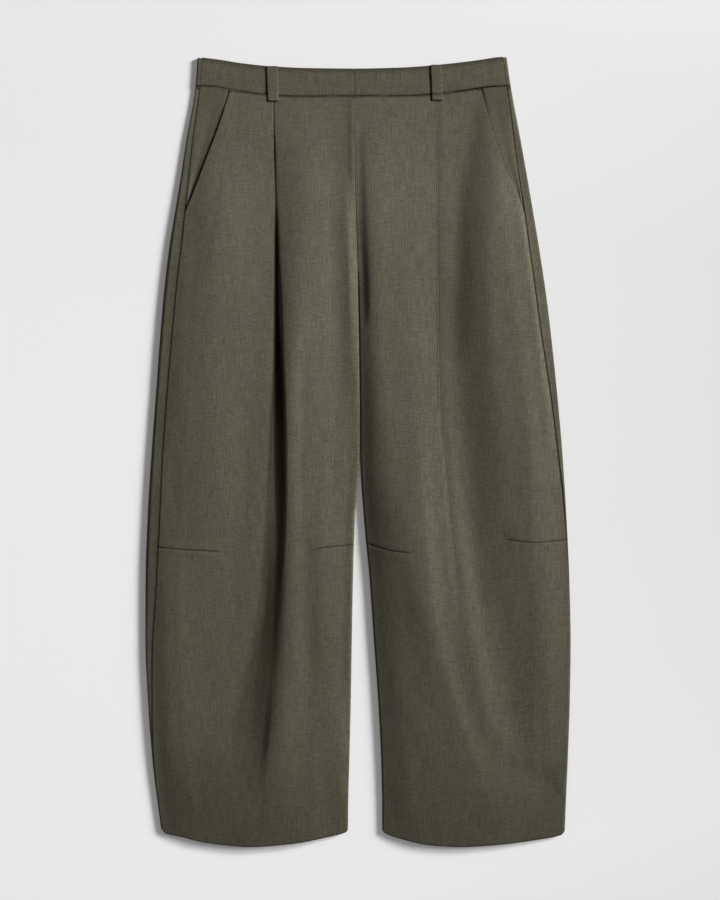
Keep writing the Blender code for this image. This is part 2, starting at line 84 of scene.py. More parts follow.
# drop, outer edge, lap of the back onto the front, inner edge, edge height, swell
sections = {
    right: (
        (0, -200.9, 5.4, -4.4, 5.2, 0),
        (36, -203.4, 5.6, -4.4, 5.2, 0),
        (105, -215, 8, -4.4, 6, 2.2),
        (155, -222.6, 10.1, -3.8, 6.6, 3.4),
        (196, -229.4, 12.2, -2.6, 7, 4.4),
        (242, -236.8, 15, -1.2, 7.3, 5.2),
        (312, -244.6, 15, 0.3, 7.6, 6),
        (430, -253.6, 13.8, 2, 7.8, 6.6),
        (500, -258.8, 14.2, 2.2, 7.8, 6.8),
        (580, -263.6, 15.2, -3.9, 7.8, 7),
        (655, -266, 13.8, -6.2, 8, 7.2),
        (730, -266.2, 9.2, -7.6, 8, 7.2),
        (805, -263, 5, -8.9, 8, 6.8),
        (880, -257.4, 1.2, -10.7, 7.6, 5.6),
        (930, -251.4, 0.4, -12, 7, 4),
        (989, -243.4, 0, -12.6, 6.2, 2),
    ),
    left: (
        (0, 186, 4.8, -4.4, 5.2, 0),
        (36, 191.2, 5, -4.4, 5.2, 0),
        (105, 203.8, 8.2, -4.4, 6, 2.2),
        (155, 212.6, 10.6, -3.8, 6.6, 3.4),
        (196, 219.6, 11, -2.6, 7, 4.4),
        (242, 227.2, 12.5, -1.2, 7.3, 5.2),
        (312, 237.4, 13.1, 0.3, 7.6, 6),
        (430, 250.2, 8.3, 2, 7.8, 6.6),
        (500, 256.2, 5.5, 2.4, 7.8, 6.8),
        (580, 261.2, 1.6, 7.4, 7.8, 6.8),
        (655, 264.6, 0.4, 14.4, 8, 6.8),
        (730, 266.2, 0, 19.6, 8, 6.8),
        (805, 265.2, 0, 25, 8, 6.4),
        (880, 262.6, 0, 28.8, 7.6, 5.4),
        (930, 260.4, 0, 30, 7, 4),
        (989, 258, 0, 30.4, 6.2, 2),
    ),
}

sectionNames = ("drop", "outer", "lap", "inner", "edge", "loft")

# drop, lip on top, its height, how far the lip hangs over, width of its flank, foot of
# the steep underlay, height of the gentle slope past the foot and its width
pleats = {
    right: (
        (36, -106.6, 0.7, 0, 1.2, -104.8, 0.3, 8),
        (92, -106.4, 1.6, 0.3, 1.2, -104.6, 0.8, 20),
        (112, -106.2, 2.4, 0.5, 1.3, -104, 1.6, 30),
        (180, -104.6, 5.2, 1, 1.4, -100.4, 4.4, 44),
        (242, -105, 7.4, 1.2, 1.4, -98.6, 4.8, 35),
        (305, -105, 9, 1.4, 1.5, -95, 3.9, 25),
        (367, -105.2, 9.8, 1.4, 1.6, -93.2, 2.9, 18),
        (430, -106.6, 10.4, 1.2, 2.4, -90.2, 2.4, 16),
        (500, -109, 10.2, 0.8, 5, -88.4, 2.3, 16),
        (560, -112, 9, 0.2, 9, -88.6, 2.1, 14),
        (605, -114, 7.6, 0, 12, -90.4, 2.5, 16),
        (642, -116.6, 6.6, 0, 14, -93.6, 3, 18),
        (680, -121, 6, 0, 17, -97.6, 4, 21),
        (742, -128, 5.6, 0, 21, -101.4, 4, 23),
        (805, -141, 5, 0, 27, -107.6, 3.4, 25),
        (855, -149, 4.8, 0, 30, -112, 2.6, 27),
        (905, -156, 2.6, 0, 32, -116, 1.6, 29),
        (989, -160, 0, 0, 34, -120, 0, 30),
    ),
    left: (
        (36, 98.6, 0.3, 0, 1.2, 100.6, 0.2, 6),
        (112, 98.8, 0.6, 0, 1.2, 101, 0.4, 8),
        (242, 99.2, 0.9, 0, 1.2, 101.4, 0.6, 10),
        (367, 99.6, 1.1, 0, 1.3, 102.2, 0.8, 11),
        (430, 100, 1.2, 0, 1.6, 103.2, 1, 11),
        (500, 103.6, 1.3, 0, 4, 109.4, 1.1, 12),
        (560, 107.4, 1.4, 0, 6.4, 116, 1.1, 13),
        (630, 112.2, 1.1, 0, 8.4, 123, 0.9, 14),
        (692, 116, 0.5, 0, 9.6, 128, 0.4, 14),
        (760, 121, 0, 0, 10, 133, 0, 12),
        (989, 126, 0, 0, 10, 138, 0, 12),
    ),
}

pleatNames = ("drop", "lip", "step", "tuck", "fall", "foot", "slope", "run")

# drop, start of the deep shade in the pleat and its softness, end and softness, how dark
pleatGaps = {
    right: (
        (36, -106.8, 0.7, -105.8, 0.7, 0.3),
        (56, -106.6, 0.7, -105.5, 0.7, 0.35),
        (98, -106, 0.7, -104.8, 0.7, 0.4),
        (125, -105.4, 0.7, -103.6, 0.8, 0.88),
        (180, -103.8, 0.9, -101.2, 1, 0.94),
        (242, -104.6, 1, -99.6, 1.6, 1),
        (305, -105, 1.6, -99.4, 3.8, 0.99),
        (361, -105.4, 2.6, -96, 4, 0.96),
        (430, -107.6, 6, -92.8, 3.6, 0.91),
        (467, -109, 8, -92, 2.8, 0.88),
        (500, -110.2, 8, -91.4, 3, 0.85),
        (555, -112.5, 8, -91, 4, 0.8),
        (605, -115.5, 11, -92.5, 9, 0.86),
        (642, -117.5, 14, -93, 13, 0.92),
        (680, -120, 16, -94, 16, 0.94),
        (742, -129, 24, -99.5, 19, 0.88),
        (805, -140, 36, -107, 24, 0.76),
        (855, -145, 38, -111, 27, 0.6),
        (905, -150, 40, -116, 30, 0.34),
        (945, -153, 42, -120, 32, 0.14),
        (989, -154, 42, -122, 32, 0),
    ),
    left: (
        (36, 97.9, 0.9, 99.3, 0.9, 0.2),
        (56, 97.9, 0.9, 99.7, 0.9, 0.5),
        (242, 98.3, 0.9, 100.1, 0.9, 0.55),
        (430, 99.2, 0.9, 101.2, 1, 0.5),
        (458, 101.3, 1.2, 103.5, 1.6, 0.42),
        (490, 103.9, 1.8, 106.3, 2.4, 0.34),
        (521, 105.4, 2.6, 108.2, 3.4, 0.26),
        (564, 109.4, 3.6, 113.8, 4.6, 0.18),
        (605, 113, 4.2, 118, 5.4, 0.1),
        (655, 116.2, 4.4, 121, 5.6, 0.04),
        (700, 118, 4.6, 124, 5.6, 0),
    ),
}

# drop, where the left front starts to rise from under the fly, over what width, how deep
flyHollow = (
    (36, 0, 10, 0),
    (70, 0, 10, 0.1),
    (118, 0, 10, 0.6),
    (200, 0.5, 10, 1.6),
    (242, 3.5, 8.5, 1.9),
    (290, 6.3, 8, 2),
    (318, 7.2, 8, 1.6),
    (350, 8, 8, 0),
    (989, 8, 8, 0),
)

# Soft folds, first laid out one by one and then fitted to the cloth's light and shade: a
# line by its start, middle and end, the widths of its two flanks, and its height, below
# zero for a trough.
folds = {
    right: (
        ((34, 401, 742), (-29.7, -30.8, -44.5), 21.6, 19.4, -4.1),
        ((541, 692, 853), (-70, -58.5, -55.6), 20.2, 28.8, -4.4),
        ((195, 511, 767), (-109.9, -142.1, -166.1), 15.2, 13.3, -0.9),
        ((195, 330, 442), (-200.6, -204.4, -215.9), 15.5, 24, -2.7),
        ((143, 300, 479), (-16.2, 12.4, 31), 33, 15.6, 7),
        ((585, 737, 1007), (-227.8, -225, -203.7), 15.6, 155.2, -3),
        ((410, 547, 692), (-211.9, -225.6, -219.3), 15.1, 21.2, -3),
        ((129, 235, 339), (-158.3, -176.6, -193.9), 13.7, 37, 1.7),
        ((569, 680, 912), (-89.5, -83.5, -124.3), 25.1, 25.3, -2.6),
        ((770, 905, 1015), (-80, -118.4, -124), 32, 150, 4.2),
        ((840, 930, 1000), (-158, -172, -150), 42, 69.6, 2.6),
        ((691, 858, 1000), (-54.3, -52.7, -35.8), 38.7, 22.9, -5.2),
        ((237, 347, 492), (-211.7, -191.2, -185.7), 17.8, 26.7, 1.3),
        ((275, 497, 622), (-50.8, -67.8, -66.9), 17, 43, -4.1),
    ),
    left: (
        ((24, 277, 339), (-2.7, 7.2, 8), 4.5, 4.5, -5.5),
        ((79, 298, 640), (-13.4, -12.1, 56.3), 77.4, 38.3, 6.4),
        ((61, 254, 548), (193.9, 169.2, 191.7), 24.3, 393, 5),
        ((-48, 246, 395), (163.9, 118.8, 118.2), 74.4, 19.2, -5.5),
        ((420, 686, 979), (72.1, 90.2, 177.3), 31.9, 13.7, 3.7),
        ((686, 839, 894), (152.9, 175.3, 199), 21.5, 15.6, 2.7),
        ((437, 761, 923), (119.5, 169.1, 197.4), 16.1, 57.1, -5.5),
        ((500, 869, 940), (219.5, 224.4, 250.1), 122.8, 16.1, -3),
        ((877, 913, 1020), (211.8, 225.3, 207.3), 24.5, 17, -3),
        ((260, 425, 703), (95.5, 122.4, 152.1), 37.9, 26.8, -5.5),
        ((513, 622, 741), (43.8, 53.9, 101.1), 54.1, 28.3, 3.1),
        ((661, 824, 1028), (29.6, 3.7, 113), 109.3, 65.7, 3.1),
        ((260, 461, 804), (-6.4, -1.3, 36.2), 80.5, 21.5, 7),
        ((160, 310, 667), (201.6, 222.3, 280.7), 13.2, 39.7, 3),
        ((794, 890, 1062), (56.8, 114.1, 148), 31.5, 79.7, 1.9),
    ),
}

# Points (x, drop) of the edges that run across
topEdge = (
    *((-203, 0.4), (-178.8, 3.1), (-147.5, 8), (-110, 12), (-60, 14.4), (-5, 15)),
    *((52.5, 13.8), (102.5, 10), (146.2, 5), (177.5, 0.5), (188, -0.2)),
)

bandSeam = (
    *((-205, 36.4), (-182.5, 37), (-160, 41.2), (-118.8, 46.9), (-72.5, 49.6), (-5, 49)),
    *((52.5, 48.9), (92.5, 47), (127.5, 42.8), (166.2, 37.4), (193, 36.2)),
)

backSeam = ((-205, 36.4), (-105, 45.6), (-5, 49), (95, 45.4), (193, 36.2))

hem = {
    right: (
        *((-246, 967), (-241, 972.4), (-222.5, 976.4), (-185, 984.6), (-135, 988.8)),
        *((-85, 985.2), (-35, 976.2), (-16, 971.4), (-11, 966.5)),
    ),
    left: (
        *((29, 966.5), (33, 971.6), (56.2, 979.8), (92, 987), (127.5, 988.8)),
        *((177.5, 986), (225, 980), (254, 974.6), (259.5, 969)),
    ),
}

pocketMouth = {
    right: ((36, -158.6), (82, -172.6), (126, -189.1), (163, -203.4), (197, -217.2)),
    left: ((36, 152.4), (97, 169.1), (134, 181.6), (163, 195.6), (197, 208.6)),
}

pocketEnd = 197.0


def smooth(points, wanted):
    places = np.array([point[0] for point in points], float)
    heights = np.array([point[1] for point in points], float)
    wanted = np.clip(wanted, places[0], places[-1])
    steps = np.diff(places)
    slopes = np.diff(heights) / steps
    tangents = np.concatenate([slopes[:1], slopes, slopes[-1:]])
    before, after = tangents[:-1], tangents[1:]
    level = before * after <= 0
    tangents = np.where(level, 0.0, 2 * before * after / np.where(level, 1.0, before + after))
    index = np.clip(np.searchsorted(places, wanted, side="right") - 1, 0, len(steps) - 1)
    step = steps[index]
    t = (wanted - places[index]) / step
    return (
        (1 + 2 * t) * (1 - t) ** 2 * heights[index]
        + t * (1 - t) ** 2 * step * tangents[index]
        + t * t * (3 - 2 * t) * heights[index + 1]
        + t * t * (t - 1) * step * tangents[index + 1]
    )


def readTable(table, place, drop):
    return smooth([(row[0], row[place]) for row in table], drop)


def section(side, name, drop):
    share = form["edgeShare"] if name == "edge" else 1.0
    return readTable(sections[side], sectionNames.index(name), drop) * share


def pleat(side, name, drop):
    return readTable(pleats[side], pleatNames.index(name), drop)


def ease(value):
    value = np.clip(value, 0.0, 1.0)
    return value * value * (3 - 2 * value)


def fadeIn(value, start, run):
    return ease((value - start) / run)


def roll(drop):
    return ease((drop - form["rollStart"]) / (form["crotchDrop"] - form["rollStart"]))


def uneven(across, along, wide, long, seed):
    # smooth random swell with hills about wide by long
    lattice = np.random.default_rng(seed).uniform(-1, 1, (64, 64))
    u, v = across / wide + 200.0, along / long + 200.0
    i, j = np.floor(u).astype(int), np.floor(v).astype(int)
    s, t = ease(u - i), ease(v - j)
    near = lattice[i % 64, j % 64] * (1 - s) + lattice[(i + 1) % 64, j % 64] * s
    far = lattice[i % 64, (j + 1) % 64] * (1 - s) + lattice[(i + 1) % 64, (j + 1) % 64] * s
    return near * (1 - t) + far * t


def foldHeight(side, x, drop):
    total = np.zeros_like(x)
    for drops, xs, leftFlank, rightFlank, height in folds[side]:
        start, middle, end = drops
        line = smooth(list(zip(drops, xs)), drop)
        width = np.where(x < line, leftFlank, rightFlank)
        across = np.exp(-(((x - line) / width) ** 2))
        along = ease((drop - start) / (middle - start)) * ease((end - drop) / (end - middle))
        total = total + height * across * np.sqrt(along)
    return total


def pleatDepth(side, x, drop):
    names = ("lip", "step", "fall", "foot", "slope", "run")
    lip, step, fall, foot, slope, run = (pleat(side, name, drop) for name in names)
    steep = np.clip((x - lip - fall) / (foot - lip - fall), 0, 1) ** form["pleatCurve"]
    gentle = slope * (1 - np.clip((x - foot) / run, 0, 1)) ** 2
    return step * ease((x - lip) / fall) - (step - slope) * steep - (slope - gentle)


def gapShade(side, x, drop):
    start, startSoft, end, endSoft, dark = (
        readTable(pleatGaps[side], place, drop) for place in range(1, 6)
    )
    return dark * ease((x - start) / startSoft + 0.5) * (1 - ease((x - end) / endSoft + 0.5))


def pleatShift(side, x, drop):
    fall = pleat(side, "fall", drop)
    middle = pleat(side, "lip", drop) + fall / 2
    place = np.clip((x - middle) / fall, -1, 1)
    return -pleat(side, "tuck", drop) * np.sin(math.pi * place)


def legWidth(side, drop):
    gap = form["seamGap"] * (1 - roll(drop)) + form["legGap"] * roll(drop)
    return np.abs(section(side, "inner", drop) - section(side, "outer", drop)) - gap / 2


def sheetLength(side, drop):
    radius = section(side, "edge", drop) / 2
    turn = roll(drop) * math.pi / 2
    quarter = radius * math.pi / 2
    return quarter + legWidth(side, drop) - radius - radius * np.sin(turn) + radius * turn


def kneeDarts(side, x, drop):
    # (relief, shade) of the dart seams: a narrow groove, a slight swell beside it and a
    # soft hollow past the tip, which is at the line's high or low x
    relief, shade = np.zeros_like(x), np.zeros_like(x)
    for line, tip in knee["darts"][side]:
        first, last = line[0][0], line[-1][0]
        away = drop - smooth(line, x)
        fromSeam, toTip = (x - first, last - x) if tip == "high" else (last - x, x - first)
        tipX, tipDrop = line[-1] if tip == "high" else line[0]
        inside = ease(toTip / knee["fade"]) * ease(fromSeam / knee["start"] + 1)
        groove = np.exp(-((away / knee["grooveWidth"]) ** 2)) * inside
        swell = np.exp(-(((np.abs(away) - knee["swellAway"]) / knee["swellAway"]) ** 2)) * inside
        wide, long = (x - tipX) / knee["puckerWide"], (drop - tipDrop) / knee["puckerLong"]
        pucker = np.exp(-(wide**2) - (long**2))
        relief = relief - knee["grooveDepth"] * groove + knee["swell"] * swell
        relief = relief - knee["pucker"] * pucker
        shade = np.maximum(shade, groove)
    return relief, shade


knee = {
    "darts": {
        right: (
            (((-251, 614.5), (-210, 617.5), (-171, 619.4)), "high"),
            (((-62, 620.6), (-51.6, 616), (-4, 610.6)), "low"),
        ),
        left: (
            (((12, 609.8), (42, 618.5), (67, 621)), "high"),
            (((184, 604.4), (219, 608), (261, 605)), "low"),
        ),
    },
    "grooveDepth": 0.75,
    "grooveWidth": 0.8,
    "swell": 0.3,
    "swellAway": 5,
    "pucker": 0.5,
    "puckerWide": 13,
    "puckerLong": 9,
    "start": 2,
    "fade": 5,
}


def frontHeight(side, x, drop, inward, width):
    # height of the front over its flat run, and how far its folds may show
    fromInner = width - inward
    innerSwell = ease(fromInner / form["domeRun"])
    if side == left:
        innerSwell = 1 - (1 - np.clip(fromInner / form["innerDome"], 0, 1)) ** form["innerCurve"]
    start = form["innerSwellStart"]
    full = 1 - fadeIn(drop, start, form["crotchDrop"] - start)
    swell = ease(inward / form["domeRun"]) * (innerSwell + (1 - innerSwell) * full)
    mask = ease(inward / form["outerBlend"]) * ease(fromInner / form["innerBlend"][side])
    seed = form["grainSeed"] + 10 * side
    rough = sum(
        high * uneven(x, drop, wide, long, seed + number)
        for number, (high, wide, long) in enumerate(form["unevenness"])
    )
    loft = section(side, "loft", drop) + section(side, "edge", drop) * (1 / form["edgeShare"] - 1)
    height = loft * swell + (foldHeight(side, x, drop) + rough) * mask
    height = height - pleatDepth(side, x, drop)
    if side == left:
        begin, run, deep = (readTable(flyHollow, place, drop) for place in range(1, 4))
        height = height - deep * (1 - fadeIn(x, begin, run))
    else:
        toFly = ease((x - section(side, "inner", drop) + form["flyReach"]) / form["flyBlend"])
        height = height + form["flyStep"] * toFly * ease((form["flyEnd"] - drop) / form["flyFade"])
    return height, mask


def sheetPoint(side, drop, along, front, edge=None):
    # (x, z) of a point of the front or back, along from the middle of the outer edge
    radius = (section(side, "edge", drop) if edge is None else edge) / 2
    width = legWidth(side, drop)
    quarter = radius * math.pi / 2
    turn = roll(drop) * math.pi / 2
    innerStart = width - radius * np.sin(turn)
    outerAngle = np.clip(along, 0, quarter) / radius
    innerAngle = np.clip((along - quarter - innerStart + radius) / radius, 0, turn)
    onArc = radius * (1 - np.maximum(np.cos(outerAngle), 0) ** form["edgeSquare"])
    inward = np.where(along < quarter, onArc, radius + along - quarter)
    lapped = ease((form["squareEnd"] - drop) / form["flyFade"]) * (side == right)
    square = 1 - (1 - form["rightSquare"]) * lapped
    onArc = innerStart + radius * np.maximum(np.sin(innerAngle), 0) ** square
    inward = np.where(inward > innerStart, onArc, inward)
    rise = radius * np.maximum(np.sin(outerAngle), 0) ** form["edgeSquare"]
    rise = rise - radius * (1 - np.maximum(np.cos(innerAngle), 0) ** square)
    x = section(side, "outer", drop) - side * inward
    if not front:
        return x, radius - rise
    flatTop = radius + rise
    if edge is not None:
        return x, flatTop
    height, mask = frontHeight(side, x, drop, inward, width)
    lifted = np.maximum(flatTop + height, np.minimum(flatTop, form["lowestFront"]))
    lifted = np.where(mask > 0, lifted, flatTop) + kneeDarts(side, x, drop)[0]
    return x + pleatShift(side, x, drop), lifted


def edgeStops(side, drop):
    # where the round stretch at the outer edge ends and the one at the inner edge starts
    edge = section(side, "edge", drop)
    return edge * math.pi / 4, sheetLength(side, drop) - edge * form["shoulder"]


def alongAt(side, drop, x, edge=None):
    radius = (section(side, "edge", drop) if edge is None else edge) / 2
    inward = np.abs(section(side, "outer", drop) - x)
    onArc = radius * np.arccos(np.clip(1 - inward / radius, 0, 1) ** (1 / form["edgeSquare"]))
    return np.where(inward < radius, onArc, radius * math.pi / 2 + inward - radius)


def seamAlong(side, drop, edge=None):
    seam = section(side, "outer", drop) - side * section(side, "lap", drop)
    return alongAt(side, drop, seam, edge)


def innerEnd(side, drop):
    return sheetLength(side, drop) - form["insideLegGap"] / 2 * roll(drop)


def rowDrops(side, top):
    def drops(row, x):
        nearTop = ease(1 - (row - form["firstRow"]) / form["topReach"])
        nearHem = ease(1 - (form["lastRow"] - row) / form["hemReach"])
        fromTop = smooth(top, x) + form["seamGap"] - form["firstRow"]
        return row + fromTop * nearTop + (smooth(hem[side], x) - form["lastRow"]) * nearHem

    return drops


def spread(stops, spans):
    # places across every row: evenly spaced between stops given for the whole grid
    stops = [np.broadcast_to(stop, stops[-1].shape) for stop in stops]
    places, column = [stops[0][:, 0]], 1
    for first, last, count in zip(stops, stops[1:], spans):
        for step in range(1, count + 1):
            share = step / count
            places.append(first[:, column] * (1 - share) + last[:, column] * share)
            column += 1
    return np.stack(places, axis=1)


def both(make, *more):
    return {side: make(side, *more) for side in (right, left)}


def clothGrid(rows, spans, dropsOf, stopsOf, pointOf):
    # rows of points, each at the drop that its own x gives
    rows = np.array(rows, float)[:, None]
    drop = np.repeat(rows, sum(spans) + 1, axis=1)
    for _ in range(5):
        along = spread(stopsOf(drop), spans)
        x, z = pointOf(drop, along)
        drop = dropsOf(rows, x)
    return np.stack([x, form["length"] / 2 - drop, z], axis=2)


def unit(vectors):
    return vectors / np.maximum(np.linalg.norm(vectors, axis=-1, keepdims=True), 1e-9)


turnAngles = (0.4, 0.8, 1.2, 1.6, 2.1, 2.6, 3.1)


def turnEdge(points, where, facing, radius, back):
    # folds one edge of a grid under with a round turn, and runs it back over some rows
    isSide, isLast = where in ("outer", "inner"), where in ("inner", "bottom")
    work, sign = (points.swapaxes(0, 1), -facing) if isSide else (points, facing)
    if isLast:
        work, sign = work[::-1], -sign
    strip = work[: back + 3]
    normals = unit(np.cross(np.gradient(strip, axis=0), np.gradient(strip, axis=1))) * sign
    inward = unit(work[1] - work[0])
    turned = [
        work[0] - inward * radius * math.sin(angle) - normals[0] * radius * (1 - math.cos(angle))
        for angle in turnAngles
    ]
    turned += [work[step] - normals[step] * radius * 2 for step in range(1, back + 1)]
    work = np.concatenate([np.array(turned[::-1]), work])
    if isLast:
        work = work[::-1]
    return (work.swapaxes(0, 1) if isSide else work), len(turned)


def walked(points, axis):
    # distance over the cloth from the first row or column
    steps = np.linalg.norm(np.diff(points, axis=axis), axis=2)
    return np.insert(np.cumsum(steps, axis=axis), 0, 0.0, axis=axis)


def turnAll(points, facing, turns):
    # turns the named edges and returns the distance of every point from each of them
    added = {"outer": 0, "inner": 0, "top": 0, "bottom": 0}
    for where, radius, back in turns:
        points, added[where] = turnEdge(points, where, facing, radius, back)
    down, over = walked(points, 0), walked(points, 1)
    edges = {
        "outer": np.maximum(over - over[:, added["outer"]][:, None], 0),
        "inner": np.maximum(over[:, -1 - added["inner"]][:, None] - over, 0),
        "top": np.maximum(down - down[added["top"]][None], 0),
        "bottom": np.maximum(down[-1 - added["bottom"]][None] - down, 0),
    }
    return points, edges


def panelTurns(panel):
    turn = panel["turn"]
    hemTurn = ("bottom", panel["hemTurn"], panel["hemBack"])
    return (("top", panel["topTurn"], 1), hemTurn, ("outer", turn, 2), ("inner", turn, 2))


def nearEdge(far, width):
    return np.exp(-((far / width) ** 2))


def darkest(*shades):
    return np.maximum.reduce(np.broadcast_arrays(*shades))


def dropsOn(points):
    return form["length"] / 2 - points[..., 1]


def setOut(name, data):
    placed = bpy.data.objects.new(name, data)
    bpy.context.scene.collection.objects.link(placed)
    return placed


def addMesh(name, points, faces, finish):
    mesh = bpy.data.meshes.new(name)
    mesh.from_pydata(points, [], faces)
    mesh.shade_smooth()
    mesh.materials.append(finish)
    return setOut(name, mesh)


def addCloth(name, points, facing, shade, slot):
    # a piece has its solid's name, in another spelling
    node = "".join("_" + letter.lower() if letter.isupper() else letter for letter in name)
    rows, columns = points.shape[:2]
    corner = (np.arange(rows - 1)[:, None] * columns + np.arange(columns - 1)).ravel()
    faces = np.stack([corner, corner + columns, corner + columns + 1, corner + 1], axis=1)
    if facing < 0:
        faces = faces[:, ::-1]
    cloth = addMesh(name, (points.reshape(-1, 3) * mm).tolist(), faces.tolist(), cloths[slot])
    attribute = cloth.data.attributes.new("creaseShade", "FLOAT", "POINT")
    attribute.data.foreach_set("value", np.ascontiguousarray(shade, np.float32).ravel())
    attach(cloth, "root")
    print(f"{name}: {len(faces) * 2} triangles")
    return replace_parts(cloth, node)


class Wire:
    # one socket of a material, which takes part in plain sums
    def __init__(self, tree, socket):
        self.tree, self.socket = tree, socket

    def node(self, kind, settings, sockets, out=0):
        made = self.tree.nodes.new(kind)
        for name, value in settings.items():
            if name != "stops":
                setattr(made, name, value)
        for place, (position, colour) in enumerate(settings.get("stops", ())):
            stops = made.color_ramp.elements
            stop = stops[place] if place < 2 else stops.new(position)
            stop.position, stop.color = position, colour
        for name, value in sockets.items():
            self.join(value, made.inputs[name])
        return Wire(self.tree, made.outputs[out])

    def join(self, value, socket):
        if isinstance(value, Wire):
            self.tree.links.new(value.socket, socket)
        else:
            socket.default_value = value

    def sum(self, operation, *values, clamped=False):
        settings = {"operation": operation, "use_clamp": clamped}
        return self.node("ShaderNodeMath", settings, dict(enumerate(values)))

    def __add__(self, other):
        return self.sum("ADD", self, other)

    def __sub__(self, other):
        return self.sum("SUBTRACT", self, other)

    def __mul__(self, other):
        return self.sum("MULTIPLY", self, other)

    def clamp(self):
        return self.sum("ADD", self, 0.0, clamped=True)

    def sine(self):
        return self.sum("SINE", self)

    def mixed(self, low, high, blend="MIX"):
        settings = {"data_type": "RGBA", "blend_type": blend, "clamp_factor": True}
        return self.node("ShaderNodeMix", settings, {0: self, 6: low, 7: high}, 2)


def startMaterial(name, **constants):
    material = bpy.data.materials.new(name)
    material.use_nodes = True
    tree = material.node_tree
    shader = tree.nodes["Principled BSDF"]
    for socket, value in constants.items():
        shader.inputs[socket].default_value = value
    place = Wire(tree, tree.nodes.new("ShaderNodeTexCoord").outputs["Object"])
    axes = [place.node("ShaderNodeSeparateXYZ", {}, {0: place}, out) for out in range(3)]
    return material, shader, axes


def clothFinish(name, settings):
    # melange plain weave: slubby warp and weft threads of two shades with brown fibres
    constants = {
        "Roughness": settings["roughness"],
        "Sheen Weight": settings["sheen"],
        "Sheen Roughness": settings["sheenRoughness"],
        "Specular IOR Level": settings["specular"],
    }
    material, shader, (x, y, z) = startMaterial(name, **constants)
    across, along = (x + z) * (1 / mm), (y - z * settings["sideLean"]) * (1 / mm)

    def noise(wide, long, seed, detail=2.0, rough=0.5):
        places = {0: across * (1 / wide), 1: along * (1 / long), 2: seed}
        spot = x.node("ShaderNodeCombineXYZ", {}, places)
        sockets = {"Vector": spot, "Scale": 1.0, "Detail": detail, "Roughness": rough}
        return x.node("ShaderNodeTexNoise", {"noise_dimensions": "3D"}, sockets)

    warp, weft, fibre, broad = (
        noise(*settings[marks]) - 0.5 for marks in ("warp", "weft", "fibre", "patches")
    )
    wave = math.pi / settings["thread"]
    threads = (across * wave).sine() * (along * wave).sine()
    tone = warp * settings["warpTone"] + weft * settings["weftTone"]
    tone = tone + fibre * settings["fibreTone"] + threads * settings["threadTone"]
    colour = (tone + 0.5).clamp().mixed(settings["dark"], settings["light"])
    sharp, floor = settings["fleckSharp"]
    flecks = (noise(*settings["flecks"]) * sharp - floor).clamp() * settings["fleckTone"]
    colour = flecks.mixed(colour, settings["brown"])
    patch = (broad * settings["patchTone"] + 0.5).clamp()
    colour = patch.mixed(colour, settings["warm"], "SOFT_LIGHT")
    # painted shade: the creaseShade attribute pulls the colour towards a near-black shade colour
    # in the pleat opening, along seams, edges and hems, in the dart seams, beside the belt loops
    # and near the waist and the hems
    crease = x.node("ShaderNodeAttribute", {"attribute_name": "creaseShade"}, {}, 2)
    colour = (crease * settings["crease"]).mixed(colour, settings["paintedShadeColour"])
    x.join(colour, shader.inputs["Base Color"])
    relief = threads * settings["threadRelief"] + (warp + weft) * settings["slubRelief"]
    sockets = {"Strength": settings["bump"], "Distance": settings["bumpDepth"], "Height": relief}
    x.join(x.node("ShaderNodeBump", {}, sockets), shader.inputs["Normal"])
    return material


# Each kind of mark has its width and length in millimetres and a seed, and the fibre
# its own detail and roughness.
suiting = {
    "dark": (0.0522, 0.0497, 0.0333, 1.0),
    "light": (0.0962, 0.0916, 0.0664, 1.0),
    "brown": (0.0905, 0.0690, 0.0462, 1.0),
    "warm": (0.518, 0.503, 0.478, 1.0),
    "warp": (0.9, 24.0, 3.1),
    "weft": (8.0, 0.9, 8.7),
    "fibre": (1.05, 1.05, 14.2, 3.0, 0.6),
    "patches": (26.0, 38.0, 21.5),
    "flecks": (2.6, 7.0, 31.0),
    "thread": 0.62,
    "warpTone": 1.7,
    "weftTone": 1.5,
    "fibreTone": 3.0,
    "threadTone": 0.05,
    "patchTone": 3.0,
    "fleckTone": 0.45,
    "fleckSharp": (6.0, 3.5),
    "sideLean": 0.6,  # slants the weave on the upright parts
    # painted shade: how far the creaseShade attribute darkens the colour, and the dark colour it
    # darkens towards
    "crease": 0.96,
    "paintedShadeColour": (0.0060, 0.0050, 0.0022, 1.0),
    "roughness": 0.88,
    "sheen": 0.03,
    "sheenRoughness": 0.5,
    "specular": 0.04,
    "bump": 0.5,
    "bumpDepth": 0.00012,
    "threadRelief": 0.5,
    "slubRelief": 1.4,
}

# painted shade: the waistband and the pocket facings are darker copies of the same suiting
bandShadedTones = {"dark": (0.0418, 0.0396, 0.0262, 1.0), "light": (0.0772, 0.0731, 0.0520, 1.0)}
facingShadedTones = {"light": (0.0865, 0.0810, 0.0577, 1.0)}
cloths = {
    "panel_cloth": clothFinish("panel cloth", suiting),
    "band_cloth": clothFinish("band cloth", {**suiting, **bandShadedTones}),
    "facing_cloth": clothFinish("facing cloth", {**suiting, **facingShadedTones}),
}
print("cloth finishes ready")

beltLoop = {
    "top": {right: -107.4, left: 98},
    "width": 13.4,
    "thick": 1,
    "rise": 0.35,
    "crown": 0.12,
    "foot": 8.6,
    "lean": 1.4,
    "sewn": 0.86,
    "topGap": 0.1,
    "overBand": 0.25,
    "overFront": 0.5,
    "stepDown": (1, 2.5),  # from how far above the band's seam, over what length
    "rows": 44,
    "around": 24,
    "square": (0.25, 0.6),  # below one its section is squarer than an oval
    "endShades": (0.4, 0.6),
    "gapShade": 0.95,
    "gapEdge": (0.5, 0.9),
    "gapEnd": (2, 3),
    "gapFoot": (1.2, 0.6),
}


